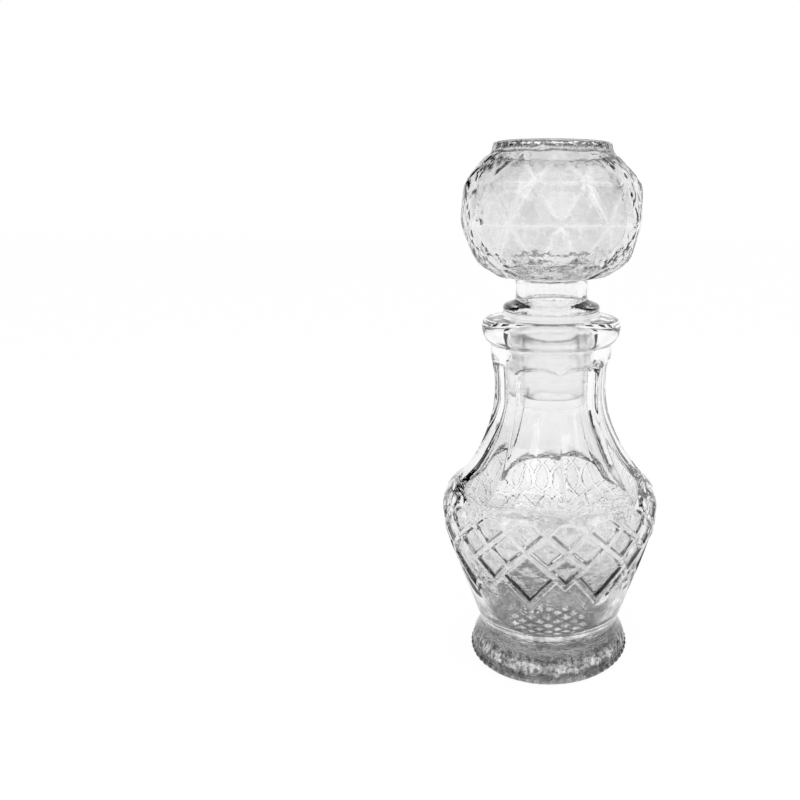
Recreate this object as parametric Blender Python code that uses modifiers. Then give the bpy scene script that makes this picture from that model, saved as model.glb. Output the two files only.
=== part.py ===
"""A small clear-glass decanter: patterned bottle, ribbed sealing sleeve and hollow faceted ball stopper.

Metres, +Z up. The origin is the centre of the face that the bottle rests on.
Angles run from -Y, which faces the viewer, towards +X.
"""

import math

import bmesh
import bpy
from mathutils import Matrix, Vector

# Bottle outside, from the resting face up: radii, and the length of each stretch
FOOT_RADIUS = 0.0243
FOOT_CHAMFER = 0.0007
FOOT_BAND = 0.0042
FOOT_LEDGE_RADIUS = 0.0224
FOOT_LEDGE = 0.0032
WAIST_RADIUS = 0.0215
FOOT_COVE = 0.0044
TAPER_TOP_RADIUS = 0.0310
TAPER = 0.0282
BELLY_RADIUS = 0.0320
BELLY = 0.0070
SHOULDER_RADIUS = 0.0297
SHOULDER = 0.0070
NECK_RADIUS = 0.0163
NECK = 0.0300
COLLAR_RADIUS = 0.0172
COLLAR_FLARE = 0.0085
COLLAR = 0.0041
RIM_RADIUS = 0.0197
RIM_TOP_RADIUS = 0.0178
RIM = 0.0069

# Neck panels: flats with round upper ends, which fade out on the shoulder
PANEL_FADE = 0.0060
PANEL_ROUND = 0.0025
PANEL_TOP_MARGIN = 0.0012

# Diamond relief: cells sunk between bars that cross all round. The lowest cells are longer than the rest.
RELIEF_DEPTH = 0.0009
HALF_CELL = 0.0051
LONG_HALF_CELL = 0.0064
CROSSING_DROP = 0.0016

# Bottle inside, and the recess under the foot
WALL = 0.0032
BORE_RADIUS = 0.0124
BORE = 0.0250
BORE_FLARE = 0.0085
FLOOR_HEIGHT = 0.0092
FLOOR_CORNER = 0.0060
RECESS_RADIUS = 0.0180
RECESS_DEPTH = 0.0024
RECESS_SLOPE = 0.0030

# Ball, with the crown on it
BALL_RADIUS = 0.0245
BALL = 0.0318
BALL_WALL = 0.0030
FACET_RISE = 0.0006
CROWN_TOP_RADIUS = 0.0159
CROWN = 0.0034
CROWN_SINK = 0.0016
DISH_RADIUS = 0.0128
DISH_DEPTH = 0.0012

# Stopper below the ball
STEM_RADIUS = 0.0100
STEM = 0.0067
DISC_RADIUS = 0.0136
DISC_EDGE = 0.0015
DISC_CONE = 0.0013
PLUG = 0.0240
PLUG_CHAMFER = 0.0008
PLUG_WALL = 0.0026

# Sealing sleeve
FLANGE_RADIUS = 0.0139
FLANGE = 0.0012
SLEEVE_WALL = 0.0010
SLEEVE = 0.0246
RIB_DEPTH = 0.0007
RIB_WIDTH = 0.0016
RIB_PITCH = 0.00375
LOWEST_RIB = 0.0043

# Gaps between the pieces, and how far a cutter or a joined shape runs past a face
SEAT_GAP = 0.0003
SIDE_GAP = 0.0003
OVERRUN = 0.0020

# Counts, turns and proportions
COLUMNS = 72
PANELS = 8
CELLS = 18
CELL_COLUMNS = 8
LEVELS_UP = 5
LEVELS_DOWN = 4
PATTERN_TURN = math.radians(9)
BALL_SIDES = 12
BALL_TURN = math.radians(5)
SLEEVE_RIBS = 5
TURNED_STEPS = 36
RIM_NOSE_SHARE = 0.64
RIM_ANGLES = tuple(math.radians(angle) for angle in (-90, -40, 5, 48))
FLOOR_ANGLES = tuple(math.radians(angle) for angle in (0, 45, 90))
PANEL_ROW_SHARES = (0.07, 0.18, 0.38, 0.62, 0.85)
CAVITY_ROW_SHARES = (1.0, 0.72, 0.4, 0.18)
BALL_RING_SHARES = ((0.60, 0.0), (0.86, 0.14), (1.0, 0.447), (0.97, 0.770), (0.72, 1.0))
BAR_SHARE = 0.1

# Heights that follow
LEDGE_HEIGHT = FOOT_BAND + FOOT_LEDGE
WAIST_HEIGHT = LEDGE_HEIGHT + FOOT_COVE
TAPER_TOP_HEIGHT = WAIST_HEIGHT + TAPER
BELLY_HEIGHT = TAPER_TOP_HEIGHT + BELLY
CROSSING_HEIGHT = BELLY_HEIGHT - CROSSING_DROP
LOW_CROSSING_HEIGHT = CROSSING_HEIGHT - HALF_CELL
SHOULDER_HEIGHT = BELLY_HEIGHT + SHOULDER
NECK_HEIGHT = SHOULDER_HEIGHT + NECK
COLLAR_HEIGHT = NECK_HEIGHT + COLLAR_FLARE
RIM_BASE_HEIGHT = COLLAR_HEIGHT + COLLAR
BOTTLE_HEIGHT = RIM_BASE_HEIGHT + RIM
BORE_END_HEIGHT = BOTTLE_HEIGHT - BORE
FLARE_END_HEIGHT = BORE_END_HEIGHT - BORE_FLARE
FLANGE_HEIGHT = BOTTLE_HEIGHT + SEAT_GAP
SLEEVE_TOP_HEIGHT = FLANGE_HEIGHT + FLANGE
SLEEVE_END_HEIGHT = FLANGE_HEIGHT - SLEEVE
DISC_HEIGHT = SLEEVE_TOP_HEIGHT + SEAT_GAP
CONE_HEIGHT = DISC_HEIGHT + DISC_EDGE
STEM_HEIGHT = CONE_HEIGHT + DISC_CONE
BALL_HEIGHT = STEM_HEIGHT + STEM
CROWN_HEIGHT = BALL_HEIGHT + BALL
TOP_HEIGHT = CROWN_HEIGHT + CROWN

# Radii that follow, from the bore in to the plug
RIB_RADIUS = BORE_RADIUS - SIDE_GAP
SLEEVE_RADIUS = RIB_RADIUS - RIB_DEPTH
SLEEVE_BORE_RADIUS = SLEEVE_RADIUS - SLEEVE_WALL
PLUG_RADIUS = SLEEVE_BORE_RADIUS - SIDE_GAP
PLUG_BORE_RADIUS = PLUG_RADIUS - PLUG_WALL

LATTICE_COLUMNS = CELLS * CELL_COLUMNS
PANEL_COLUMNS = COLUMNS // PANELS
SHARP_ANGLE = math.radians(12)
MERGE_DISTANCE = 0.00001
END_FACE_SLOPE_SHARE = 0.99

GLASS = ("clear_glass", (0.90, 0.92, 0.92), 0.04)
SLEEVE_PLASTIC = ("frosted_polyethylene", (0.86, 0.87, 0.86), 0.45)


def clear_scene():
    for obj in list(bpy.data.objects):
        bpy.data.objects.remove(obj, do_unlink=True)


def new_collection(name):
    collection = bpy.data.collections.new(name)
    bpy.context.scene.collection.children.link(collection)
    return collection


def make_material(recipe):
    name, colour, roughness = recipe
    material = bpy.data.materials.new(name)
    material.use_nodes = True
    shader = material.node_tree.nodes["Principled BSDF"]
    shader.inputs["Base Color"].default_value = (*colour, 1.0)
    shader.inputs["Roughness"].default_value = roughness
    shader.inputs["Metallic"].default_value = 0.0
    return material


def at_angle(radius, angle, height):
    return Vector((radius * math.sin(angle), -radius * math.cos(angle), height))


def add_mesh_object(name, bm, collection):
    mesh = bpy.data.meshes.new(name)
    bm.to_mesh(mesh)
    bm.free()
    obj = bpy.data.objects.new(name, mesh)
    collection.objects.link(obj)
    return obj


def turned(name, outline, collection):
    """Spin an outline of (radius, height) points round Z. It runs down its outer side."""
    bm = bmesh.new()
    points = [bm.verts.new((radius, 0.0, height)) for radius, height in outline]
    for start, end in zip(points, points[1:]):
        bm.edges.new((start, end))
    if outline[0][0] > 0:
        bm.edges.new((points[-1], points[0]))
    obj = add_mesh_object(name, bm, collection)
    spin = obj.modifiers.new("spin", "SCREW")
    spin.axis = "Z"
    spin.steps = TURNED_STEPS
    spin.render_steps = TURNED_STEPS
    spin.use_merge_vertices = True
    spin.merge_threshold = MERGE_DISTANCE
    return obj


def hide_cutter(obj):
    obj.hide_render = True
    obj.display_type = "WIRE"


def combine(obj, other, operation):
    step = obj.modifiers.new(other.name, "BOOLEAN")
    step.object = other
    step.operation = operation
    step.solver = "EXACT"
    hide_cutter(other)


def finish(obj, material, origin_height):
    """Give a piece its material and put its origin on the axis at a height."""
    obj.data.materials.append(material)
    obj.data.transform(Matrix.Translation((0.0, 0.0, -origin_height)))
    obj.location.z = origin_height
    obj.data.shade_smooth()
    obj.data.set_sharp_from_angle(angle=SHARP_ANGLE)


# Bottle

def between(share, low, high):
    return low + share * (high - low)


def wall_radius(height):
    """Outside radius of the plain wall from the waist to the collar."""
    if height <= TAPER_TOP_HEIGHT:
        share = (height - WAIST_HEIGHT) / (TAPER_TOP_HEIGHT - WAIST_HEIGHT)
        return between(share, WAIST_RADIUS, TAPER_TOP_RADIUS)
    if height <= BELLY_HEIGHT:
        share = (BELLY_HEIGHT - height) / (BELLY_HEIGHT - TAPER_TOP_HEIGHT)
        return between(share ** 2, BELLY_RADIUS, TAPER_TOP_RADIUS)
    if height <= SHOULDER_HEIGHT:
        share = (height - BELLY_HEIGHT) / (SHOULDER_HEIGHT - BELLY_HEIGHT)
        return between(share ** 3, BELLY_RADIUS, SHOULDER_RADIUS)
    if height <= NECK_HEIGHT:
        share = (NECK_HEIGHT - height) / (NECK_HEIGHT - SHOULDER_HEIGHT)
        return between(share ** 2, NECK_RADIUS, SHOULDER_RADIUS)
    share = min(1.0, (height - NECK_HEIGHT) / (COLLAR_HEIGHT - NECK_HEIGHT))
    return between(share ** 2, NECK_RADIUS, COLLAR_RADIUS)


def from_panel_middle(column):
    """Angle between a column and the middle of its neck panel."""
    return (column % PANEL_COLUMNS / PANEL_COLUMNS - 0.5) * 2 * math.pi / PANELS


def panel_top_height(column):
    share = from_panel_middle(column) * PANELS / math.pi
    return COLLAR_HEIGHT - PANEL_TOP_MARGIN - PANEL_ROUND * (1.0 - math.sqrt(1.0 - share ** 2))


def panel_radius(column, height):
    """The wall's own radius on the arrises, and a chord between them as the panel fades in."""
    share = min(1.0, (height - SHOULDER_HEIGHT) / PANEL_FADE)
    fade = math.sqrt(1.0 - (1.0 - share) ** 2)
    flat_share = math.cos(math.pi / PANELS) / math.cos(from_panel_middle(column))
    return wall_radius(height) * between(fade, 1.0, flat_share)


def plain_ring(radius, height):
    return [(radius, height)] * COLUMNS


def foot_rings():
    return [
        plain_ring(FOOT_RADIUS - FOOT_CHAMFER, 0.0),
        plain_ring(FOOT_RADIUS, FOOT_CHAMFER),
        plain_ring(FOOT_RADIUS, FOOT_BAND - FOOT_CHAMFER),
        plain_ring(FOOT_RADIUS - FOOT_CHAMFER, FOOT_BAND),
        plain_ring(FOOT_LEDGE_RADIUS, LEDGE_HEIGHT),
        plain_ring(WAIST_RADIUS, WAIST_HEIGHT),
    ]


def inside_cell(side, level):
    """How far a point lies inside its cell, as a share of a cell's width.

    side counts cells round from the pattern's axis, level counts half cells up from the lower crossings.
    """
    folded = abs((side + 1) % 2 - 1)
    above_short = (level + 1) / 2 - folded
    above_long = (level + 2) / 2 - (1 - folded)
    if above_short <= 0:
        return max(0.0, min(above_long, -above_short))
    rising = side + (level - 1) / 2
    falling = side - (level - 1) / 2
    return min(abs(rising - round(rising)), abs(falling - round(falling)))


def lattice_rings():
    """Bars at the wall's own radius, with sunk cells between them, on a grid whose diagonals follow the bars."""
    rings = []
    half_columns = CELL_COLUMNS // 2
    for step in range(-half_columns * LEVELS_DOWN // 2, half_columns * LEVELS_UP // 2):
        level = (step + 0.5) / half_columns
        height = LOW_CROSSING_HEIGHT + level * (HALF_CELL if level > 0 else LONG_HALF_CELL)
        ring = []
        for column in range(LATTICE_COLUMNS):
            sunk = inside_cell(column / CELL_COLUMNS, level) > BAR_SHARE
            ring.append((wall_radius(height) - sunk * RELIEF_DEPTH, height))
        rings.append(ring)
    return rings + [plain_ring(SHOULDER_RADIUS, SHOULDER_HEIGHT)]


def panel_rings():
    """Scooped panels of the neck, from the shoulder to their round upper ends."""
    rings = []
    for share in PANEL_ROW_SHARES:
        ring = []
        for column in range(COLUMNS):
            height = between(share, SHOULDER_HEIGHT, panel_top_height(column))
            ring.append((panel_radius(column, height), height))
        rings.append(ring)
    heights = [panel_top_height(column) for column in range(COLUMNS)]
    return rings + [[(wall_radius(height), height) for height in heights]]


def rim_rings():
    """A bead whose nose lies above its middle."""
    nose_height = RIM_BASE_HEIGHT + RIM_NOSE_SHARE * RIM
    rings = [plain_ring(COLLAR_RADIUS, COLLAR_HEIGHT)]
    for angle in RIM_ANGLES:
        reach = nose_height - RIM_BASE_HEIGHT if angle < 0 else BOTTLE_HEIGHT - nose_height
        radius = between(math.cos(angle), COLLAR_RADIUS, RIM_RADIUS)
        rings.append(plain_ring(radius, nose_height + reach * math.sin(angle)))
    return rings + [plain_ring(RIM_TOP_RADIUS, BOTTLE_HEIGHT)]


def sink(corner):
    """How far a corner lies below the plain wall."""
    return wall_radius(corner.co.z) - math.hypot(corner.co.x, corner.co.y)


def add_band(bm, lower, upper):
    """Triangles between two rings of as many corners. Each diagonal joins the corners that are sunk the most alike."""
    for column in range(len(lower)):
        after = (column + 1) % len(lower)
        corners = [lower[column], lower[after], upper[after], upper[column]]
        first, second, third, fourth = (sink(corner) for corner in corners)
        if abs(second - fourth) < abs(first - third):
            corners = corners[1:] + corners[:1]
        bm.faces.new((corners[0], corners[1], corners[2]))
        bm.faces.new((corners[0], corners[2], corners[3]))


def add_stitch(bm, coarse, fine, coarse_below):
    """Triangles between a ring and one with twice its corners."""
    for column in range(len(coarse)):
        here, after = coarse[column], coarse[(column + 1) % len(coarse)]
        first, middle = fine[2 * column], fine[2 * column + 1]
        last = fine[(2 * column + 2) % len(fine)]
        for corners in ((here, middle, first), (here, after, middle), (after, last, middle)):
            bm.faces.new(corners if coarse_below else reversed(corners))


def loft(name, rings, collection):
    """Close a skin over rings of (radius, height)."""
    bm = bmesh.new()
    grid = []
    for ring in rings:
        grid.append([
            bm.verts.new(at_angle(radius, PATTERN_TURN + 2 * math.pi * column / len(ring), height))
            for column, (radius, height) in enumerate(ring)
        ])
    for lower, upper in zip(grid, grid[1:]):
        if len(lower) == len(upper):
            add_band(bm, lower, upper)
        elif len(lower) < len(upper):
            add_stitch(bm, lower, upper, True)
        else:
            add_stitch(bm, upper, lower, False)
    bm.faces.new(reversed(grid[0]))
    bm.faces.new(grid[-1])
    return add_mesh_object(name, bm, collection)


def cavity_outline():
    """Inside of the bottle: the bore, its flare, then the wall's own curve, then a rounded floor."""
    top = BOTTLE_HEIGHT + OVERRUN
    corner_height = FLOOR_HEIGHT + FLOOR_CORNER
    outline = [(0.0, top), (BORE_RADIUS, top), (BORE_RADIUS, BORE_END_HEIGHT)]
    stretches = (
        (SHOULDER_HEIGHT, FLARE_END_HEIGHT),
        (TAPER_TOP_HEIGHT, SHOULDER_HEIGHT),
        (corner_height, TAPER_TOP_HEIGHT),
    )
    for low, high in stretches:
        for share in CAVITY_ROW_SHARES:
            height = between(share, low, high)
            outline.append((max(BORE_RADIUS, wall_radius(height) - WALL), height))
    corner_radius = wall_radius(corner_height) - WALL - FLOOR_CORNER
    for angle in FLOOR_ANGLES:
        radius = corner_radius + FLOOR_CORNER * math.cos(angle)
        outline.append((radius, corner_height - FLOOR_CORNER * math.sin(angle)))
    return outline + [(0.0, FLOOR_HEIGHT)]


def build_bottle(parts, cutters, material):
    rings = foot_rings() + lattice_rings() + panel_rings() + rim_rings()
    bottle = loft("bottle", rings, parts)
    cavity = turned("bottle_cavity", cavity_outline(), cutters)
    recess = turned("foot_recess", [
        (0.0, RECESS_DEPTH),
        (RECESS_RADIUS - RECESS_SLOPE, RECESS_DEPTH),
        (RECESS_RADIUS, 0.0),
        (RECESS_RADIUS, -OVERRUN),
        (0.0, -OVERRUN),
    ], cutters)
    combine(bottle, cavity, "DIFFERENCE")
    combine(bottle, recess, "DIFFERENCE")
    finish(bottle, material, 0.0)


# Sealing sleeve

def build_sleeve(parts, material):
    outline = [
        (FLANGE_RADIUS, SLEEVE_TOP_HEIGHT),
        (FLANGE_RADIUS, FLANGE_HEIGHT),
        (SLEEVE_RADIUS, FLANGE_HEIGHT),
    ]
    for rib in reversed(range(SLEEVE_RIBS)):
        middle = SLEEVE_END_HEIGHT + LOWEST_RIB + rib * RIB_PITCH
        outline += [
            (SLEEVE_RADIUS, middle + RIB_WIDTH / 2),
            (RIB_RADIUS, middle),
            (SLEEVE_RADIUS, middle - RIB_WIDTH / 2),
        ]
    outline += [
        (SLEEVE_RADIUS, SLEEVE_END_HEIGHT),
        (SLEEVE_BORE_RADIUS, SLEEVE_END_HEIGHT),
        (SLEEVE_BORE_RADIUS, SLEEVE_TOP_HEIGHT),
    ]
    sleeve = turned("stopper_sleeve", outline, parts)
    finish(sleeve, material, FLANGE_HEIGHT)


# Stopper

def build_ball(collection):
    """Hull over rings of corners, each ring turned half a side, with every facet puffed out."""
    half_side = math.pi / BALL_SIDES
    bm = bmesh.new()
    for ring, (radius_share, height_share) in enumerate(BALL_RING_SHARES):
        height = BALL_HEIGHT + height_share * BALL
        for side in range(BALL_SIDES):
            angle = BALL_TURN + half_side * (2 * side + ring % 2)
            bm.verts.new(at_angle(radius_share * BALL_RADIUS, angle, height))
    bmesh.ops.convex_hull(bm, input=bm.verts)
    bmesh.ops.recalc_face_normals(bm, faces=bm.faces)
    facets = [face for face in bm.faces if abs(face.normal.z) < END_FACE_SLOPE_SHARE]
    bmesh.ops.poke(bm, faces=facets, offset=FACET_RISE)
    return add_mesh_object("stopper", bm, collection)


def build_crown(collection):
    """Raised crown on top of the ball."""
    low = CROWN_HEIGHT - CROWN_SINK
    bm = bmesh.new()
    bmesh.ops.create_cone(
        bm,
        cap_ends=True,
        segments=2 * BALL_SIDES,
        radius1=BALL_RING_SHARES[-1][0] * BALL_RADIUS,
        radius2=CROWN_TOP_RADIUS,
        depth=TOP_HEIGHT - low,
        matrix=Matrix.Translation((0.0, 0.0, (low + TOP_HEIGHT) / 2)) @ Matrix.Rotation(BALL_TURN, 4, "Z"),
    )
    return add_mesh_object("stopper_crown", bm, collection)


def hollow_outline():
    """Inside of the stopper: the ball's own shape less its wall, then down the plug and out of its end."""
    outline = [(0.0, TOP_HEIGHT - DISH_DEPTH - BALL_WALL)]
    for radius_share, height_share in reversed(BALL_RING_SHARES[1:]):
        height = min(BALL_HEIGHT + height_share * BALL, outline[0][1])
        outline.append((radius_share * BALL_RADIUS - BALL_WALL, height))
    end = DISC_HEIGHT - PLUG - OVERRUN
    return outline + [(PLUG_BORE_RADIUS, BALL_HEIGHT + BALL_WALL), (PLUG_BORE_RADIUS, end), (0.0, end)]


def build_stopper(parts, cutters, material):
    stopper = build_ball(parts)
    crown = build_crown(cutters)
    stem = turned("stopper_stem", [
        (0.0, BALL_HEIGHT + OVERRUN),
        (STEM_RADIUS, BALL_HEIGHT + OVERRUN),
        (STEM_RADIUS, STEM_HEIGHT),
        (DISC_RADIUS, CONE_HEIGHT),
        (DISC_RADIUS, DISC_HEIGHT),
        (PLUG_RADIUS, DISC_HEIGHT),
        (PLUG_RADIUS, DISC_HEIGHT - PLUG + PLUG_CHAMFER),
        (PLUG_RADIUS - PLUG_CHAMFER, DISC_HEIGHT - PLUG),
        (0.0, DISC_HEIGHT - PLUG),
    ], cutters)
    dish = turned("crown_dish", [
        (0.0, TOP_HEIGHT + OVERRUN),
        (DISH_RADIUS, TOP_HEIGHT + OVERRUN),
        (DISH_RADIUS, TOP_HEIGHT),
        (0.0, TOP_HEIGHT - DISH_DEPTH),
    ], cutters)
    combine(stopper, crown, "UNION")
    combine(stopper, stem, "UNION")
    combine(stopper, dish, "DIFFERENCE")
    combine(stopper, turned("stopper_hollow", hollow_outline(), cutters), "DIFFERENCE")
    finish(stopper, material, DISC_HEIGHT)


def main():
    clear_scene()
    parts = new_collection("decanter")
    cutters = new_collection("cutters")
    glass = make_material(GLASS)
    build_bottle(parts, cutters, glass)
    build_sleeve(parts, make_material(SLEEVE_PLASTIC))
    build_stopper(parts, cutters, glass)


main()
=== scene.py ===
"""Visual model of a small pressed-glass decanter: bottle, ribbed sealing sleeve and faceted ball stopper.

Sizes are in millimetres and angles in degrees, unless a comment says otherwise. Outlines are points of
(radius, height). Angles round the axis run from -Y, which faces the viewer, towards +X.
"""

import math

import bpy
import numpy as np
from mathutils import Matrix, Vector


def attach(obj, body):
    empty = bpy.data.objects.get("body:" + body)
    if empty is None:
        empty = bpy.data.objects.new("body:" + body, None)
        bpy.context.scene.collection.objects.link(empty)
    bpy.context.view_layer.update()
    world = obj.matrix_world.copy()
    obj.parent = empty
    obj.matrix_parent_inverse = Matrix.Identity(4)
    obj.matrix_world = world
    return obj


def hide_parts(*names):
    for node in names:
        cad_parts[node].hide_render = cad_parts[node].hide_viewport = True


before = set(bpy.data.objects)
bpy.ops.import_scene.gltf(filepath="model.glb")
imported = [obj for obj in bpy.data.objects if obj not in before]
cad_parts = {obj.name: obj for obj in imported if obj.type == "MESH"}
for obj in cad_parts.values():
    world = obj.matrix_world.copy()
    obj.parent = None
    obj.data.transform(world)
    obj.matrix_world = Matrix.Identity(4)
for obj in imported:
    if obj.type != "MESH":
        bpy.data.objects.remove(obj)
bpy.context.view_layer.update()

MM = 0.001

# Steps round the axis
FINE = 720
COARSE = 180
STUD_COLUMNS = 360
STOPPER_COLUMNS = 192
SLEEVE_COLUMNS = 144

# Steps of a curved outline between two of its points
CURVE_STEPS = 4


# Camera, placed first

SENSOR_WIDTH = 36.0
LENS = 34.43
SHIFT_X = -0.1766
SHIFT_Y = 0.0128
CAMERA_PLACE = Vector((0.0, -215.8, 134.8))
PITCH = math.radians(15.25)
YAW = math.radians(-0.71)
ROLL = math.radians(0.31)


def add_camera():
    data = bpy.data.cameras.new("camera")
    data.sensor_width = SENSOR_WIDTH
    data.lens = LENS
    data.shift_x = SHIFT_X
    data.shift_y = SHIFT_Y
    camera = bpy.data.objects.new("camera", data)
    bpy.context.scene.collection.objects.link(camera)
    flat = math.cos(PITCH)
    forward = Vector((math.sin(YAW) * flat, math.cos(YAW) * flat, -math.sin(PITCH)))
    side = Vector((math.cos(YAW), -math.sin(YAW), 0.0))
    up = side.cross(forward)
    right = math.cos(ROLL) * side + math.sin(ROLL) * up
    top = -math.sin(ROLL) * side + math.cos(ROLL) * up
    matrix = Matrix((right, top, -forward)).transposed().to_4x4()
    matrix.translation = CAMERA_PLACE * MM
    camera.matrix_world = matrix
    bpy.context.scene.camera = camera


# Mesh helpers

def smooth_step(low, high, value):
    share = np.clip((value - low) / (high - low), 0.0, 1.0)
    return share * share * (3.0 - 2.0 * share)


def curve_through(points, steps):
    """Catmull-Rom curve through points, with that many steps between two of them."""
    points = np.array(points, dtype=float)
    padded = np.vstack([2 * points[0] - points[1], points, 2 * points[-1] - points[-2]])
    out = []
    for k in range(len(points) - 1):
        before, start, end, after = padded[k:k + 4]
        for t in np.linspace(0.0, 1.0, steps, endpoint=False):
            out.append(0.5 * (
                2 * start
                + (end - before) * t
                + (2 * before - 5 * start + 4 * end - after) * t ** 2
                + (3 * start - before - 3 * end + after) * t ** 3
            ))
    out.append(points[-1])
    return np.array(out)


class Skin:
    """A closed skin made ring by ring, with painted light and shade at every point, which its glass colour
    is multiplied by.
    """

    def __init__(self, turn=0.0):
        self.turn = math.radians(turn)
        self.points = []
        self.painted_lights_and_shades = []
        self.faces = []
        self.count = 0

    def add(self, points, tone=1.0):
        start = self.count
        self.points.append(points)
        self.painted_lights_and_shades.append(np.broadcast_to(tone, len(points)))
        self.count += len(points)
        return np.arange(start, start + len(points))

    def pole(self, height):
        return self.add(np.array([[0.0, 0.0, height]]))[0]

    def ring(self, radius, height, columns, tone=1.0):
        angle = self.turn + 2 * math.pi * np.arange(columns) / columns
        radius = np.broadcast_to(radius, columns)
        height = np.broadcast_to(height, columns)
        ring = np.stack([radius * np.sin(angle), -radius * np.cos(angle), height], axis=1)
        return self.add(ring, tone)

    def band(self, lower, upper, flip=None):
        """Two triangles for each step round. flip says where the diagonal runs the other way."""
        after = np.roll(lower, -1)
        above = np.roll(upper, -1)
        flip = np.zeros(len(lower), dtype=bool) if flip is None else flip
        first = np.stack([lower, after, np.where(flip, upper, above)], 1)
        second = np.stack([np.where(flip, after, lower), above, upper], 1)
        self.faces += [first, second]

    def grow(self, last, radius, height, tone=1.0, flip=None):
        """Add a ring after the last one and join the two."""
        ring = self.ring(radius, height, len(last), tone)
        self.band(last, ring, flip)
        return ring

    def follow(self, last, outline, down=False, painted_light_and_shade_at=None):
        """Carry the skin on from its last ring along an outline. down is true where an outside runs down."""
        for radius, height in outline:
            ring = self.ring(radius, height, len(last), painted_light_and_shade_at(height) if painted_light_and_shade_at else 1.0)
            if down:
                self.band(ring, last)
            else:
                self.band(last, ring)
            last = ring
        return last

    def stitch(self, fine, coarse, fine_first):
        """Join a ring to one with fewer points. fine_first is true where the fine ring comes first."""
        ratio = len(fine) // len(coarse)
        half = ratio // 2
        faces = []
        for k, here in enumerate(coarse):
            after = coarse[(k + 1) % len(coarse)]
            start = k * ratio
            for step in range(ratio):
                low = fine[(start + step) % len(fine)]
                high = fine[(start + step + 1) % len(fine)]
                faces.append((low, high, here if step < half else after))
            faces.append((fine[start + half], after, here))
        faces = np.array(faces)
        self.faces.append(faces if fine_first else faces[:, ::-1])

    def fan(self, pole, ring, upward):
        """Close a ring with triangles to one point. upward is true where they face up."""
        after = np.roll(ring, -1)
        middle = np.full(len(ring), pole)
        self.faces.append(np.stack([ring, after, middle] if upward else [after, ring, middle], 1))

    def build(self, name):
        points = np.vstack(self.points) * MM
        faces = np.vstack(self.faces)
        mesh = bpy.data.meshes.new(name)
        mesh.from_pydata(points.tolist(), [], faces.tolist())
        mesh.update()
        # Painted light and shade of every point, kept as a point attribute
        tone = mesh.attributes.new("tone", "FLOAT", "POINT")
        tone.data.foreach_set("value", np.concatenate(self.painted_lights_and_shades))
        obj = bpy.data.objects.new(name, mesh)
        bpy.context.scene.collection.objects.link(obj)
        mesh.shade_smooth()
        return obj


# Bottle: wall

PATTERN_TURN = 9.0
WAIST = 11.8
WAIST_RADIUS = 21.5
TAPER_TOP = 40.0
TAPER_TOP_RADIUS = 31.0
BELLY = 47.0
BELLY_RADIUS = 32.0
SHOULDER = 54.0
SHOULDER_RADIUS = 29.7
NECK = 84.0
NECK_RADIUS = 16.3
COLLAR = 92.5
COLLAR_RADIUS = 17.2


def wall(height):
    """Outside radius of the plain wall from the waist to the collar."""
    z = np.asarray(height, dtype=float)
    taper = WAIST_RADIUS + (z - WAIST) / (TAPER_TOP - WAIST) * (TAPER_TOP_RADIUS - WAIST_RADIUS)
    belly = BELLY_RADIUS - ((BELLY - z) / (BELLY - TAPER_TOP)) ** 2 * (BELLY_RADIUS - TAPER_TOP_RADIUS)
    shoulder = BELLY_RADIUS - ((z - BELLY) / (SHOULDER - BELLY)) ** 3 * (BELLY_RADIUS - SHOULDER_RADIUS)
    neck = NECK_RADIUS + ((NECK - z) / (NECK - SHOULDER)) ** 2 * (SHOULDER_RADIUS - NECK_RADIUS)
    share = np.clip((z - NECK) / (COLLAR - NECK), 0.0, 1.0)
    collar = NECK_RADIUS + share ** 2 * (COLLAR_RADIUS - NECK_RADIUS)
    tops = [z <= TAPER_TOP, z <= BELLY, z <= SHOULDER, z <= NECK]
    return np.select(tops, [taper, belly, shoulder, neck], collar)


# Bottle: net of crossed bars with sunk cells

# Height of the lower full row of crossings, and half a cell's height above and below it
LOW_CROSSING = 40.3
HALF_CELL = 5.1
LONG_HALF_CELL = 6.4
CELL_ANGLE = 20.0

# First and last level of the net, counted in half cells from that row, and the step between its rings
LOW_LEVEL = -2.30
HIGH_LEVEL = 2.65
LEVEL_STEP = 0.05

# Distances from a bar's middle, as shares of the way to the next bar
BAR_EDGE_SHARE = 0.07
CELL_EDGE_SHARE = 0.16
CELL_MIDDLE_SHARE = 0.5
BELOW_END_SHARE = 0.6
SHADE_END_SHARE = 0.2

CELL_SINK = 0.85
CELL_PILLOW = 0.35
BELOW_SINK = 0.4

# The net ends under arches
NET_TOP = 52.7
NET_DIP = 1.1
NET_FADE = 0.4

# Painted shade: the sunk cells are darker than the bars, the low ones most
CELL_PAINTED_SHADE = 0.08
LOW_CELL_PAINTED_SHADE = 0.13
SHADE_TOP = 50.0
SHADE_BOTTOM = 32.0


def height_at(level):
    """Height of a level of the net. The cells below the lower full row of crossings are longer."""
    return LOW_CROSSING + level * (HALF_CELL if level > 0 else LONG_HALF_CELL)


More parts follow.
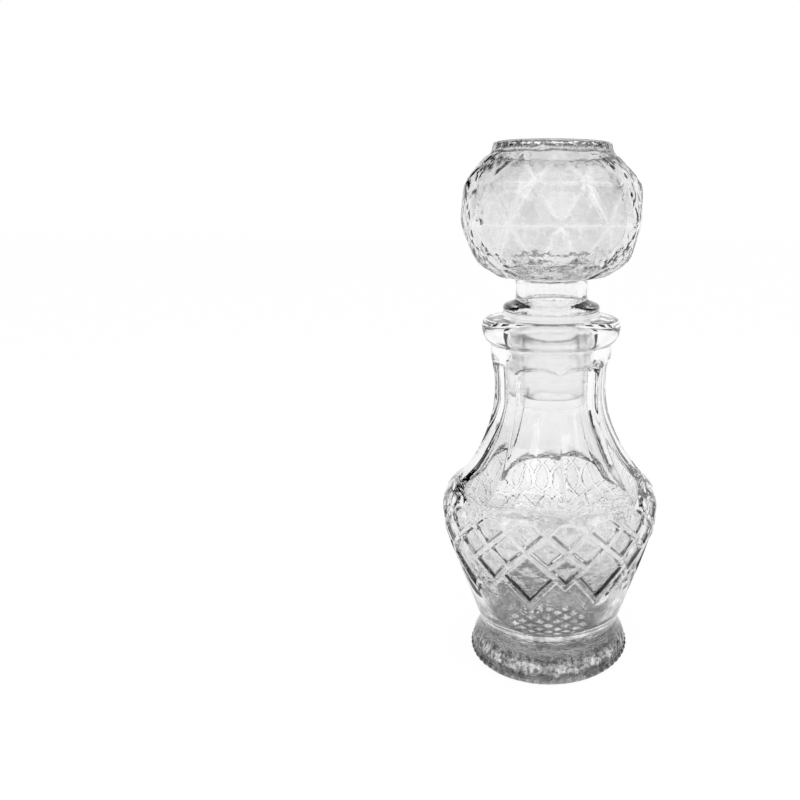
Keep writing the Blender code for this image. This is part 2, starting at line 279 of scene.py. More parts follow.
def relief(columns, level):
    """Sink of the net, and the painted shade of its sunk cells, at every column of one level."""
    side = np.arange(columns) * 360.0 / columns / CELL_ANGLE
    folded = np.abs((side + 1.0) % 2.0 - 1.0)
    # The lowest cells lie above a zigzag from level -2 to 0 and below one from level -1 to 1
    above_short = (level + 1.0) / 2.0 - folded
    above_long = (level + 2.0) / 2.0 - (1.0 - folded)
    rising = side + (level - 1.0) / 2.0
    falling = side - (level - 1.0) / 2.0
    inside = np.minimum(np.abs(rising - np.round(rising)), np.abs(falling - np.round(falling)))
    low_cell = np.clip(np.minimum(above_long, -above_short), 0.0, None)
    inside = np.where(above_short > 0, inside, low_cell)
    cell = CELL_SINK * smooth_step(BAR_EDGE_SHARE, CELL_EDGE_SHARE, inside)
    cell = cell - CELL_PILLOW * smooth_step(CELL_EDGE_SHARE, CELL_MIDDLE_SHARE, inside)
    outside = np.clip(np.minimum(-above_short, -above_long), 0.0, None)
    below = BELOW_SINK * smooth_step(BAR_EDGE_SHARE, CELL_EDGE_SHARE, outside)
    below = below * (1.0 - smooth_step(CELL_EDGE_SHARE, BELOW_END_SHARE, outside))
    from_middle = np.abs((side + 0.5) % 1.0 - 0.5) * 2.0
    top = NET_TOP - NET_DIP * from_middle ** 2
    height = height_at(level)
    shown = 1.0 - smooth_step(top - NET_FADE, top + NET_FADE, height)
    lowness = np.clip((SHADE_TOP - height) / (SHADE_TOP - SHADE_BOTTOM), 0.0, 1.0)
    shade = CELL_PAINTED_SHADE + LOW_CELL_PAINTED_SHADE * lowness
    # Painted shade in the sunk cells, deeper for the low ones
    tone = 1.0 - shade * smooth_step(BAR_EDGE_SHARE, SHADE_END_SHARE, inside) * shown
    return (cell + below) * shown, tone


def add_net(skin, last):
    """Rings of the net, on a grid whose diagonals run along the bars."""
    sinks = np.zeros(FINE)
    for level in np.arange(LOW_LEVEL, HIGH_LEVEL + LEVEL_STEP / 2, LEVEL_STEP):
        height = height_at(level)
        now, tone = relief(FINE, level)
        rising = np.abs(sinks - np.roll(now, -1))
        falling = np.abs(np.roll(sinks, -1) - now)
        last = skin.grow(last, wall(height) - now, height, tone, falling < rising)
        sinks = now
    return last


# Bottle: flat panels of the neck

PANEL_ANGLE = 45.0
HALF_PANEL = PANEL_ANGLE / 2
PANEL_TOP = 91.3
PANEL_ARCH = 2.5
ARRIS_ROUND_SHARE = 0.016
PANEL_START = 6.0
PANEL_START_POWER = 1.4

# Places of the rings between shoulder and panel top, as shares, close together at the bottom
PANEL_SHARES = np.concatenate([np.arange(0.008, 0.15, 0.012), np.linspace(0.16, 1.0, 40)])

# Steps from the flats back to the round wall: lift, and share of the flat that is left
PANEL_END = ((0.15, 0.75), (0.3, 0.35), (0.5, 0.08), (0.7, 0.0))


def panel_side(columns):
    """Angle from the middle of the neck panel at every column."""
    return (np.arange(columns) * 360.0 / columns) % PANEL_ANGLE - HALF_PANEL


def panel_top(columns):
    share = np.abs(panel_side(columns)) / HALF_PANEL
    return PANEL_TOP - PANEL_ARCH * (1.0 - np.sqrt(np.clip(1.0 - share ** 2, 0.0, 1.0)))


def panel_radius(columns, height):
    """Radius of the flats, with slightly rounded arrises, fading in from the shoulder."""
    side = np.abs(panel_side(columns))
    apothem = math.cos(math.radians(HALF_PANEL))
    here = apothem / np.cos(np.radians(side))
    beside = apothem / np.cos(np.radians(PANEL_ANGLE - side))
    flat = 0.5 * (here + beside - np.sqrt((here - beside) ** 2 + ARRIS_ROUND_SHARE ** 2))
    start = np.clip((height - SHOULDER) / PANEL_START, 0.0, 1.0)
    fade = 1.0 - (1.0 - start) ** PANEL_START_POWER
    return wall(height) * (1.0 - (1.0 - flat) * fade)


def add_panels(skin, last):
    last = skin.grow(last, wall(SHOULDER), SHOULDER)
    tops = panel_top(FINE)
    for share in PANEL_SHARES:
        height = SHOULDER + share * (tops - SHOULDER)
        last = skin.grow(last, panel_radius(FINE, height), height)
    for lift, share in PANEL_END:
        height = tops + lift
        plain = wall(height)
        last = skin.grow(last, plain + share * (panel_radius(FINE, tops) - plain), height)
    return last


# Bottle: foot and underside

BEADS = 64
BEAD_MIDDLE = 1.5
BEAD_HALF_HEIGHT = 0.95
BEAD_HALF_WIDTH_SHARE = 0.8
BEAD_RISE = 0.7
BAND_START = 0.6
BAND_END = 3.95
BAND_STEP = 0.2
BAND_RADIUS = 23.6
BAND_SWELL = 0.25
SWELL_HEIGHTS = (0.4, 3.0)
BAND_SHRINK = 0.3
SHRINK_HEIGHTS = (3.0, 4.2)
# Painted shade between the beads and painted highlight on them
GAP_PAINTED_SHADE = 0.45
BEAD_PAINTED_HIGHLIGHT = 1.3

FOOT_EDGE = ((23.1, 0.05), (23.5, 0.3))
FOOT_CURVE = ((23.65, 4.3), (23.35, 5.2), (22.8, 6.3), (22.2, 7.6), (21.65, 9.4), (21.4, 11.3))
TAPER_START = 11.9
TAPER_STEP = 0.9
TAPER_END_GAP = 0.2

STUD_PITCH = 4.1
STUD_EDGE_SHARE = 0.22
GROOVE_EDGE_SHARE = 0.36
GROOVE_DEPTH = 0.35
# Painted shade in the grooves under the foot and painted highlight on the studs
GROOVE_PAINTED_SHADE = 0.03
STUD_PAINTED_HIGHLIGHT = 1.5
STUDS_END = 13.6
STUDS_GONE = 14.6
STUD_STEP = 0.2
ROOF = 1.5
ROOF_RADIUS = 15.0
RESTING_RING = (
    (15.3, 2.1), (15.9, 1.6), (17.2, 0.6), (17.7, 0.2), (18.3, 0.02), (19.0, 0.0), (22.4, 0.0),
)


def stud_groove(radius, turn):
    """Depth share of the crossed grooves that cut the recess roof under the foot into studs."""
    angle = turn + 2 * math.pi * np.arange(STUD_COLUMNS) / STUD_COLUMNS
    across = radius * np.sin(angle)
    back = -radius * np.cos(angle)
    first = (across + back) / math.sqrt(2.0) / STUD_PITCH
    second = (across - back) / math.sqrt(2.0) / STUD_PITCH
    edge = np.maximum(np.abs(first - np.round(first)), np.abs(second - np.round(second)))
    groove = smooth_step(STUD_EDGE_SHARE, GROOVE_EDGE_SHARE, edge)
    return groove + (1.0 - groove) * smooth_step(STUDS_END, STUDS_GONE, radius)


def add_underside(skin):
    """Studded roof of the recess, with painted highlight on its studs and painted shade in its grooves, and
    the ring that the bottle rests on.
    """
    studs = []
    for radius in np.arange(STUD_STEP, ROOF_RADIUS, STUD_STEP):
        groove = stud_groove(radius, skin.turn)
        # Painted highlight on the studs, painted shade in the grooves
        tone = STUD_PAINTED_HIGHLIGHT - (STUD_PAINTED_HIGHLIGHT - GROOVE_PAINTED_SHADE) * groove
        studs.append(skin.ring(radius, ROOF + GROOVE_DEPTH * groove, STUD_COLUMNS, tone))
    skin.fan(skin.pole(ROOF), studs[0], False)
    for inner, outer in zip(studs, studs[1:]):
        skin.band(inner, outer)
    ring = skin.ring(*RESTING_RING[0], COARSE)
    skin.stitch(studs[-1], ring, True)
    return skin.follow(ring, RESTING_RING[1:])


def bead_band(columns, height):
    """Radius of the foot's band with its row of round beads, and its painted light: a painted highlight on
    each bead and painted shade between them.
    """
    pitch = 360.0 / BEADS
    angle = np.arange(columns) * 360.0 / columns
    side = ((angle + pitch / 2) % pitch - pitch / 2) / (pitch / 2)
    flatness = (side / BEAD_HALF_WIDTH_SHARE) ** 2 + ((height - BEAD_MIDDLE) / BEAD_HALF_HEIGHT) ** 2
    bump = np.sqrt(np.clip(1.0 - flatness, 0.0, 1.0))
    swell = BAND_SWELL * smooth_step(*SWELL_HEIGHTS, height)
    shrink = BAND_SHRINK * smooth_step(*SHRINK_HEIGHTS, height)
    return BAND_RADIUS + swell - shrink + BEAD_RISE * bump, GAP_PAINTED_SHADE + (BEAD_PAINTED_HIGHLIGHT - GAP_PAINTED_SHADE) * bump


def add_foot(skin, inner):
    """Beaded band, foot and the plain taper up to the net."""
    last = skin.ring(*FOOT_EDGE[0], FINE)
    skin.stitch(last, inner, False)
    last = skin.follow(last, FOOT_EDGE[1:])
    for height in np.arange(BAND_START, BAND_END, BAND_STEP):
        radius, tone = bead_band(FINE, height)
        last = skin.grow(last, radius, height, tone)
    last = skin.follow(last, curve_through(FOOT_CURVE, CURVE_STEPS))
    for height in np.arange(TAPER_START, height_at(LOW_LEVEL) - TAPER_END_GAP, TAPER_STEP):
        last = skin.grow(last, wall(height), height)
    return last


# Bottle: rim, mouth and inside

COLLAR_OUTLINE = ((17.15, 92.6), (17.2, 93.5), (17.2, 94.6), (17.2, 95.6), (17.22, 96.3))
RIM_MIDDLE_RADIUS = 17.25
RIM_MIDDLE = 101.1
RIM_REACH = 2.4
RIM_DROP = 4.4
RIM_RISE = 2.4
RIM_ANGLES = range(-84, 91, 7)
MOUTH_EDGE = (16.4, 103.5)
MOUTH = (
    (14.2, 103.5), (13.2, 103.4), (12.65, 103.0), (12.45, 102.3), (12.4, 101.0), (12.4, 96.0), (12.4, 90.0),
    (12.4, 84.0), (12.42, 80.0), (12.5, 78.5),
)
INSIDE_CURVE = (
    (12.6, 78.0), (13.9, 74.0), (15.9, 70.0), (18.0, 66.0), (20.3, 62.0), (23.6, 58.0), (26.4, 54.5),
    (27.9, 51.0), (28.5, 47.0), (28.3, 43.0), (27.2, 38.0), (25.2, 32.0), (23.2, 26.0), (21.2, 20.0),
    (19.7, 16.0), (18.0, 13.0), (15.6, 10.9), (12.6, 9.8), (9.0, 9.35), (5.0, 9.25), (2.0, 9.2),
)
INSIDE_BOTTOM = 9.2
BOTTOM_TONE = 2.1
BOTTOM_END = (9.5, 10.4)
# Painted shade in the inside corner
CORNER_PAINTED_SHADE = 0.7
CORNER_START = (9.6, 10.4)
CORNER_END = (12.5, 15.0)


def rim_outline():
    for angle in RIM_ANGLES:
        lift = RIM_DROP if angle < 0 else RIM_RISE
        radius = RIM_MIDDLE_RADIUS + RIM_REACH * math.cos(math.radians(angle))
        yield radius, RIM_MIDDLE + lift * math.sin(math.radians(angle))


def inside_painted_light_and_shade(height):
    """Clear bottom inside, which makes up for the dark tint there, and a ring of painted shade at its
    corner.
    """
    ring = smooth_step(*CORNER_START, height) * (1.0 - smooth_step(*CORNER_END, height))
    return BOTTOM_TONE - (BOTTOM_TONE - 1.0) * smooth_step(*BOTTOM_END, height) - CORNER_PAINTED_SHADE * ring


def add_inside(skin, last):
    ring = skin.ring(*MOUTH_EDGE, COARSE)
    skin.stitch(last, ring, True)
    outline = list(MOUTH) + list(curve_through(INSIDE_CURVE, CURVE_STEPS))
    last = skin.follow(ring, outline, painted_light_and_shade_at=inside_painted_light_and_shade)
    skin.fan(skin.pole(INSIDE_BOTTOM), last, True)


def build_bottle(material):
    skin = Skin(PATTERN_TURN)
    last = add_foot(skin, add_underside(skin))
    last = add_net(skin, last)
    last = add_panels(skin, last)
    last = skin.follow(last, COLLAR_OUTLINE)
    last = skin.follow(last, rim_outline())
    add_inside(skin, last)
    bottle = skin.build("bottle_glass")
    bottle.data.materials.append(material)
    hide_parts("bottle")
    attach(bottle, "bottle")


# Stopper

# Rings of facet corners, from the bottom up
BALL_RINGS = ((14.7, 114.8), (21.35, 119.2), (24.85, 129.0), (24.1, 139.4), (17.64, 146.7))
BALL_CENTRE = np.array([0.0, 0.0, 131.0])
BALL_TURN = 5.0
SIDES = 12
PARTS = STOPPER_COLUMNS // SIDES
BULGE = 0.35
FACET_RISE = 0.3
# How far from a facet's edge its clear strip ends and its full rise begins
FACET_STRIP = (0.3, 0.85)
# Painted shade on the facets' middles: least, spread and number of steps
FACET_PAINTED_SHADE = 0.07
FACET_PAINTED_SHADE_SPREAD = 0.22
FACET_PAINTED_SHADES = 11

CROWN = (
    (16.95, 147.0), (16.45, 147.7), (16.1, 149.0), (15.95, 149.55), (15.6, 149.9), (15.1, 150.0),
    (13.6, 150.0), (12.6, 149.93), (11.0, 149.8), (8.0, 149.65), (4.0, 149.58),
)
CROWN_MIDDLE = 149.55
STEM = (
    (12.6, 114.75), (11.2, 114.6), (10.45, 114.2), (10.1, 113.5), (10.0, 112.5), (10.0, 110.0),
    (10.05, 109.0), (10.2, 108.5),
)
DISC = (
    (10.6, 108.15), (11.6, 107.75), (12.7, 107.35), (13.3, 107.05), (13.6, 106.5), (13.6, 105.7),
    (13.4, 105.4), (13.1, 105.3), (11.4, 105.3), (10.3, 105.2),
)
# Rings between a straight wall's ends keep its shading straight
PLUG = (
    (10.12, 104.8), (10.1, 104.0), (10.1, 98.0), (10.1, 92.0), (10.1, 86.0), (10.1, 82.4), (10.0, 81.8),
    (9.7, 81.45), (9.3, 81.3), (8.2, 81.3), (7.7, 81.5), (7.5, 82.0),
)
PLUG_BORE = ((7.5, 86.0), (7.5, 92.0), (7.5, 98.0), (7.5, 104.0), (7.5, 110.0), (7.5, 113.6))
HOLLOW = (
    (7.8, 115.0), (9.2, 116.5), (11.6, 117.7), (14.2, 118.6), (16.6, 119.8), (18.7, 121.9), (20.2, 125.0),
    (21.0, 129.0), (21.1, 133.0), (20.6, 137.0), (19.4, 140.4), (17.0, 143.4), (14.0, 145.1), (10.0, 145.8),
    (5.0, 146.0),
)
HOLLOW_TOP = 146.0


def corner(ring, side):
    radius, height = BALL_RINGS[ring]
    angle = math.radians(BALL_TURN) + math.pi / SIDES * (2 * side + ring % 2)
    return np.array([radius * math.sin(angle), -radius * math.cos(angle), height])


def outward(point):
    return (point - BALL_CENTRE) / np.linalg.norm(point - BALL_CENTRE)


def facet_points(a, b, c, shade):
    """Grid over a triangle, with its middle raised and darkened by painted shade, and a strip along its
    edges neither raised nor shaded.
    """
    normal = np.cross(b - a, c - a)
    double_area = np.linalg.norm(normal)
    normal /= double_area
    spans = [double_area / np.linalg.norm(edge) for edge in (b - c, c - a, a - b)]
    grid = {}
    for i in range(PARTS + 1):
        for j in range(PARTS + 1 - i):
            share = np.array([PARTS - i - j, i, j]) / PARTS
            point = share[0] * a + share[1] * b + share[2] * c
            inner = smooth_step(*FACET_STRIP, min(share * spans))
            bulge = BULGE * (share[0] * share[1] + share[1] * share[2] + share[2] * share[0])
            place = point + normal * FACET_RISE * inner + outward(point) * bulge
            grid[i, j] = (place, 1.0 - shade * inner)
    return grid


class Ball:
    """The faceted part of the stopper's skin, whose neighbouring facets share their edge points."""

    def __init__(self, skin):
        self.skin = skin
        self.found = {}

    def vertex(self, point, tone=1.0):
        key = tuple(np.round(point, 4))
        if key not in self.found:
            self.found[key] = self.skin.add(np.array([point]), tone)[0]
        return self.found[key]

    def facet_faces(self, grid):
        faces = []
        for i in range(PARTS):
            for j in range(PARTS - i):
                here = self.vertex(*grid[i, j])
                beside = self.vertex(*grid[i + 1, j])
                if i + j < PARTS - 1:
                    above = self.vertex(*grid[i, j + 1])
                    faces.append((here, beside, above))
                    faces.append((beside, self.vertex(*grid[i + 1, j + 1]), above))
                else:
                    faces.append((here, beside, self.vertex(*grid[i, j + 1])))
        return faces

    def add_facets(self):
        faces = []
        for ring in range(len(BALL_RINGS) - 1):
            shift = ring % 2
            for side in range(SIDES):
                low = corner(ring, side)
                low_after = corner(ring, side + 1)
                high = corner(ring + 1, side + shift)
                high_before = corner(ring + 1, side + shift - 1)
                for kind, triangle in enumerate(((low, low_after, high), (low, high, high_before))):
                    # Neighbours get unlike painted shades
                    mixed = (7 * side + 5 * ring + 3 * kind) % FACET_PAINTED_SHADES / (FACET_PAINTED_SHADES - 1)
                    shade = FACET_PAINTED_SHADE + FACET_PAINTED_SHADE_SPREAD * mixed
                    faces += self.facet_faces(facet_points(*triangle, shade))
        self.skin.faces.append(np.array(faces))

    def edge_ring(self, ring):
        """The ring of points along the facets' corners, for the crown or the stem to join."""
        out = []
        for side in range(SIDES):
            start = corner(ring, side)
            end = corner(ring, side + 1)
            for part in range(PARTS):
                point = start + (end - start) * part / PARTS
                out.append(self.vertex(point + outward(point) * BULGE * part * (PARTS - part) / PARTS ** 2))
        return np.array(out)


def build_stopper(material):
    skin = Skin(BALL_TURN)
    ball = Ball(skin)
    ball.add_facets()
    last = skin.follow(ball.edge_ring(len(BALL_RINGS) - 1), CROWN)
    skin.fan(skin.pole(CROWN_MIDDLE), last, True)
    last = skin.follow(ball.edge_ring(0), STEM + DISC + PLUG + PLUG_BORE + HOLLOW, down=True)
    skin.fan(skin.pole(HOLLOW_TOP), last, False)
    stopper = skin.build("stopper_glass")
    stopper.data.materials.append(material)
    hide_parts("stopper")
    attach(stopper, "stopper")


# Sleeve

FLANGE = (
    (11.0, 105.0), (13.3, 105.0), (13.7, 104.9), (13.9, 104.6), (13.9, 104.2), (13.75, 103.9), (13.4, 103.8),
    (11.9, 103.8), (11.5, 103.6), (11.4, 103.2),
)
RIBS = 5
TOP_RIB = 98.5
RIB_PITCH = 3.75
# Radius and height above the rib's middle
RIB = ((11.4, 1.15), (11.5, 0.75), (11.9, 0.35), (12.1, 0.0), (11.9, -0.35), (11.5, -0.75), (11.4, -1.15))
SLEEVE_END = (
    (11.4, 80.2), (11.25, 79.5), (11.0, 79.2), (10.75, 79.2), (10.5, 79.5), (10.4, 80.0), (10.4, 90.0),
    (10.4, 98.0), (10.4, 104.0), (10.5, 104.8),
)


def build_sleeve(material):
    outline = list(FLANGE)
    for number in range(RIBS):
        outline += [(radius, TOP_RIB - number * RIB_PITCH + rise) for radius, rise in RIB]
    outline += SLEEVE_END
    skin = Skin()
    rings = [skin.ring(radius, height, SLEEVE_COLUMNS) for radius, height in outline]
    for upper, lower in zip(rings, rings[1:] + rings[:1]):
        skin.band(lower, upper)
    sleeve = skin.build("sealing_sleeve")
    sleeve.data.materials.append(material)
    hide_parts("stopper_sleeve")
    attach(sleeve, "sleeve")


# Materials

# Sockets of a Mix node for colours
MIX_SHARE = 0
MIX_BASE = 6
MIX_OTHER = 7
MIX_RESULT = 2


class Nodes:
    """Short calls for a node tree."""

    def __init__(self, tree):
        self.tree = tree

    def new(self, kind, **values):
        node = self.tree.nodes.new(kind)
        for name, value in values.items():
            setattr(node, name, value)
        return node

    def link(self, source, target):
        self.tree.links.new(source, target)

    def feed(self, value, target):
        """Link a socket, or set a number on the target itself."""
        if isinstance(value, (int, float)):
            target.default_value = value
        else:
            self.link(value, target)

    def maths(self, operation, first, second):
        node = self.new("ShaderNodeMath", operation=operation)
        self.feed(first, node.inputs[0])
        self.feed(second, node.inputs[1])
        return node.outputs[0]

    def ramp(self, value, stops):
        """Grey ramp through (place, grey) stops, of which the first lies at 0."""
        node = self.new("ShaderNodeValToRGB")
        elements = node.color_ramp.elements
        while len(elements) < len(stops):
            elements.new(1.0)
        for element, (place, grey) in zip(elements, stops):
            element.position = place
            element.color = (grey, grey, grey, 1.0)
        self.link(value, node.inputs["Fac"])
        return node.outputs["Color"]

    def spread(self, value, low, high):
        """Map a value from low..high to 0..1."""
        node = self.new("ShaderNodeMapRange")
        node.inputs["From Min"].default_value = low
        node.inputs["From Max"].default_value = high
        self.link(value, node.inputs["Value"])
        return node.outputs["Result"]

    def noise(self, vector, scale, detail=2.0):
        node = self.new("ShaderNodeTexNoise")
        node.inputs["Scale"].default_value = scale
        node.inputs["Detail"].default_value = detail
        self.link(vector, node.inputs["Vector"])
        return node.outputs["Fac"]

    def darken(self, base, shade, share):
        """Multiply a colour by a shade, as far as share says."""
        node = self.new("ShaderNodeMix", data_type="RGBA", blend_type="MULTIPLY")
        self.feed(share, node.inputs[MIX_SHARE])
        self.link(base, node.inputs[MIX_BASE])
        self.link(shade, node.inputs[MIX_OTHER])
        return node.outputs[MIX_RESULT]

    def axes(self, source):
        """X, Y and Z of one output of the texture coordinates."""
        node = self.new("ShaderNodeSeparateXYZ")
        self.link(source, node.inputs[0])
        return node.outputs


def new_material(name):
    material = bpy.data.materials.new(name)
    material.use_nodes = True
    nodes = Nodes(material.node_tree)
    return material, nodes, material.node_tree.nodes["Principled BSDF"]


GLASS_ROUGHNESS = 0.01
GLASS_IOR = 1.5

# Noise scales are per metre
SPECK_SCALE = 800.0
SPECK_DETAIL = 3.0
SPECK_STOPS = ((0.38, 0.0), (0.58, 1.0))
CLOUD_SCALE = 230.0
CLOUD_STOPS = ((0.42, 0.12), (0.56, 1.0))
WAVE_SCALE = 260.0
SMALL_WAVE_SCALE = 900.0
SMALL_WAVE_SHARE = 0.35
WAVE_HEIGHT = 1.0

# Tint of the glass, its waviness, and how much dark specks and clouds show, each by height. The bottle's
# tint is partly its own and partly painted shade, darker low down and darkest between 8 and 10.5 mm up.
BOTTLE_LOOKS = {
    "tint": (
        (0, 0.95), (3, 0.78), (6, 0.88), (8, 0.48), (10.5, 0.48), (13, 0.94), (26, 0.97), (32, 1.0),
        (50, 1.0), (62, 0.95), (80, 0.96), (86, 1.0), (104, 0.99),
    ),
    "waves": (
        (0, 0.6), (7.5, 0.6), (9, 0.04), (26, 0.04), (30, 0.4), (35, 0.3), (46, 0.12), (60, 0.03),
        (104, 0.03),
    ),
    "specks": (
        (0, 0.3), (4, 0.95), (8, 0.9), (9, 0.1), (9.8, 0.1), (10.8, 0.8), (14, 0.4), (26, 0.28), (32, 0.45),
        (38, 0.24), (46, 0.08), (54, 0.03), (104, 0.03),
    ),
    "clouds": (
        (0, 0.2), (3, 0.8), (8, 0.8), (9, 0.0), (9.8, 0.0), (11, 0.75), (20, 0.45), (28, 0.10), (34, 0.0),
        (104, 0.0),
    ),
}
STOPPER_LOOKS = {
    "tint": ((0, 0.99), (105, 0.99), (116, 0.98), (143, 0.97), (147, 1.0), (150, 1.0)),
    "waves": (
        (0, 0.05), (104.5, 0.05), (105.5, 0.3), (108, 0.3), (110, 0.05), (112, 0.05), (115, 0.3), (121, 0.3),
        (125, 0.06), (142, 0.10), (147, 0.45), (150, 0.45),
    ),
    "specks": ((0, 0.03), (110, 0.05), (140, 0.08), (150, 0.06)),
    "clouds": ((0, 0.0), (140, 0.0), (148, 0.15), (150, 0.15)),
}

SLEEVE_ROUGHNESS = 0.3
SLEEVE_IOR = 1.1
SLEEVE_OPACITY = 0.3
SLEEVE_SCALE = 150.0
SLEEVE_STOPS = ((0.3, 0.97), (0.7, 1.0))


def glass_material(name, looks):
    """Clear pressed glass, wavy, and darker in some places, with painted light and shade in its colour."""
    material, nodes, shader = new_material(name)
    shader.inputs["Roughness"].default_value = GLASS_ROUGHNESS
    shader.inputs["IOR"].default_value = GLASS_IOR
    shader.inputs["Transmission Weight"].default_value = 1.0
    where = nodes.new("ShaderNodeTexCoord").outputs["Object"]
    top = looks["tint"][-1][0]
    rise = nodes.spread(nodes.axes(where)["Z"], 0.0, top * MM)

    def by_height(kind):
        return nodes.ramp(rise, [(height / top, value) for height, value in looks[kind]])

    specks = nodes.ramp(nodes.noise(where, SPECK_SCALE, SPECK_DETAIL), SPECK_STOPS)
    clouds = nodes.ramp(nodes.noise(where, CLOUD_SCALE), CLOUD_STOPS)
    # Painted light and shade of the skin's points
    tone = nodes.new("ShaderNodeAttribute", attribute_name="tone").outputs["Color"]
    # Tint by height, on the bottle partly painted shade
    colour = nodes.darken(by_height("tint"), specks, by_height("specks"))
    colour = nodes.darken(colour, clouds, by_height("clouds"))
    colour = nodes.darken(colour, tone, 1.0)
    nodes.link(colour, shader.inputs["Base Color"])
    small = nodes.maths("MULTIPLY", nodes.noise(where, SMALL_WAVE_SCALE), SMALL_WAVE_SHARE)
    bump = nodes.new("ShaderNodeBump")
    bump.inputs["Distance"].default_value = WAVE_HEIGHT * MM
    nodes.link(by_height("waves"), bump.inputs["Strength"])
    nodes.link(nodes.maths("ADD", nodes.noise(where, WAVE_SCALE), small), bump.inputs["Height"])
    nodes.link(bump.outputs["Normal"], shader.inputs["Normal"])
    return material


def sleeve_material():
    """Translucent moulded plastic, slightly uneven."""
    material, nodes, shader = new_material("frosted_polyethylene")
    shader.inputs["Roughness"].default_value = SLEEVE_ROUGHNESS
    shader.inputs["IOR"].default_value = SLEEVE_IOR
    shader.inputs["Transmission Weight"].default_value = 1.0
    shader.inputs["Alpha"].default_value = SLEEVE_OPACITY
    where = nodes.new("ShaderNodeTexCoord").outputs["Object"]
    colour = nodes.ramp(nodes.noise(where, SLEEVE_SCALE), SLEEVE_STOPS)
    nodes.link(colour, shader.inputs["Base Color"])
    return material


# Studio

# In metres
FLOOR_HALF = 3.0
FLOOR_DROP = 0.00005
# In halves of the floor's width
FLOOR_CORNERS = ((-1, -1), (1, -1), (1, 1), (-1, 1))

FLOOR_GREY = (0.9, 0.9, 0.9, 1.0)
FLOOR_GLOW = 1.1
# How much of the floor's plain glow the camera, gloss and clear glass see. The rest keeps the shadow.
FLOOR_GLOW_SHARE = 0.86

# Where dark flags hang: by direction from left to right, then by rise from level to straight up
FLAG_SIDES = ((0.0, 1.0), (0.27, 1.0), (0.33, 0.0), (0.88, 0.0), (0.93, 1.0))
FLAG_RISE = ((0.0, 0.0), (0.23, 0.0), (0.29, 1.0), (0.85, 1.0), (0.95, 0.0))
# Narrow dark strips at all heights, from left to right
FLAG_STRIPS = (
    (0.0, 0.0), (0.012, 0.0), (0.022, 1.0), (0.060, 1.0), (0.072, 0.0),
    (0.935, 0.0), (0.947, 1.0), (0.978, 1.0), (0.988, 0.0),
)
FLAG_BLACK = (0.02, 0.02, 0.02, 1.0)
SKY = ((0.0, 1.0), (0.22, 1.0), (0.32, 0.88), (0.6, 0.78), (1.0, 0.88))
WHITE = (1.0, 1.0, 1.0, 1.0)
WORLD_LIGHT = 0.6
WORLD_SEEN = 1.0

# Name, angle, rise, then distance, width and height in metres, then the brightness that a mirror shows
LAMPS = (
    ("key_box", -38.0, 38.0, 0.5, 0.20, 0.30, 2.4),
    ("fill_box", 55.0, 25.0, 0.5, 0.12, 0.30, 2.0),
)
LAMP_TARGET = Vector((0.0, 0.0, 90.0))


def seen(nodes):
    """Whether the camera looks straight here, and whether gloss or clear glass does."""
    path = nodes.new("ShaderNodeLightPath")
    through = nodes.maths("MAXIMUM", path.outputs["Is Glossy Ray"], path.outputs["Is Transmission Ray"])
    return path.outputs["Is Camera Ray"], through


def build_floor():
    mesh = bpy.data.meshes.new("floor")
    corners = [(x * FLOOR_HALF, y * FLOOR_HALF, -FLOOR_DROP) for x, y in FLOOR_CORNERS]
    mesh.from_pydata(corners, [], [(0, 1, 2, 3)])
    floor = bpy.data.objects.new("floor", mesh)
    bpy.context.scene.collection.objects.link(floor)
    material = bpy.data.materials.new("floor_paper")
    material.use_nodes = True
    material.node_tree.nodes.clear()
    nodes = Nodes(material.node_tree)
    paper = nodes.new("ShaderNodeBsdfDiffuse")
    paper.inputs["Color"].default_value = FLOOR_GREY
    glow = nodes.new("ShaderNodeEmission")
    glow.inputs["Strength"].default_value = FLOOR_GLOW
    shown = nodes.maths("MAXIMUM", *seen(nodes))
    mix = nodes.new("ShaderNodeMixShader")
    nodes.link(nodes.maths("MULTIPLY", shown, FLOOR_GLOW_SHARE), mix.inputs[0])
    nodes.link(paper.outputs[0], mix.inputs[1])
    nodes.link(glow.outputs[0], mix.inputs[2])
    output = nodes.new("ShaderNodeOutputMaterial")
    nodes.link(mix.outputs[0], output.inputs["Surface"])
    mesh.materials.append(material)


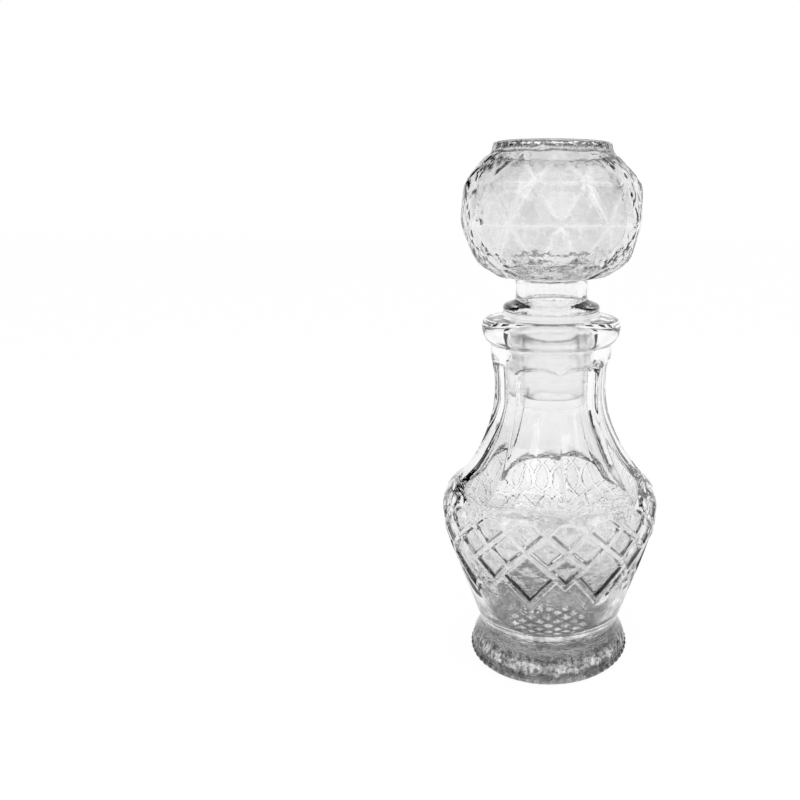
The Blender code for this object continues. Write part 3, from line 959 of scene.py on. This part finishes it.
def build_world():
    """White to the camera. Glass sees a sky that is greyer higher up, with dark flags and strips in it."""
    world = bpy.data.worlds.new("studio")
    bpy.context.scene.world = world
    world.use_nodes = True
    world.node_tree.nodes.clear()
    nodes = Nodes(world.node_tree)
    way = nodes.axes(nodes.new("ShaderNodeTexCoord").outputs["Generated"])
    across = nodes.spread(way["X"], -1.0, 1.0)
    high = nodes.maths("MULTIPLY", nodes.ramp(across, FLAG_SIDES), nodes.ramp(way["Z"], FLAG_RISE))
    flagged = nodes.new("ShaderNodeMix", data_type="RGBA")
    flagged.inputs[MIX_OTHER].default_value = FLAG_BLACK
    nodes.link(nodes.maths("MAXIMUM", high, nodes.ramp(across, FLAG_STRIPS)), flagged.inputs[MIX_SHARE])
    nodes.link(nodes.ramp(way["Z"], SKY), flagged.inputs[MIX_BASE])
    camera, through = seen(nodes)
    colour = nodes.new("ShaderNodeMix", data_type="RGBA")
    colour.inputs[MIX_OTHER].default_value = WHITE
    nodes.link(camera, colour.inputs[MIX_SHARE])
    nodes.link(flagged.outputs[MIX_RESULT], colour.inputs[MIX_BASE])
    shown = nodes.maths("MAXIMUM", camera, through)
    strength = nodes.maths("ADD", nodes.maths("MULTIPLY", shown, WORLD_SEEN - WORLD_LIGHT), WORLD_LIGHT)
    back = nodes.new("ShaderNodeBackground")
    nodes.link(strength, back.inputs["Strength"])
    nodes.link(colour.outputs[MIX_RESULT], back.inputs["Color"])
    output = nodes.new("ShaderNodeOutputWorld")
    nodes.link(back.outputs[0], output.inputs["Surface"])


def add_lamp(name, angle, rise, distance, width, height, brightness):
    """Soft box that faces the decanter's middle."""
    data = bpy.data.lights.new(name, "AREA")
    data.shape = "RECTANGLE"
    data.size = width
    data.size_y = height
    data.energy = brightness * math.pi * width * height
    lamp = bpy.data.objects.new(name, data)
    bpy.context.scene.collection.objects.link(lamp)
    flat = math.cos(math.radians(rise))
    turn = math.radians(angle)
    way = Vector((flat * math.sin(turn), -flat * math.cos(turn), math.sin(math.radians(rise))))
    matrix = way.to_track_quat("Z", "Y").to_matrix().to_4x4()
    matrix.translation = LAMP_TARGET * MM + way * distance
    lamp.matrix_world = matrix


def main():
    add_camera()
    build_bottle(glass_material("clear_glass", BOTTLE_LOOKS))
    build_stopper(glass_material("clear_stopper_glass", STOPPER_LOOKS))
    build_sleeve(sleeve_material())
    build_floor()
    build_world()
    for lamp in LAMPS:
        add_lamp(*lamp)
    bpy.context.scene.view_settings.view_transform = "Standard"


main()
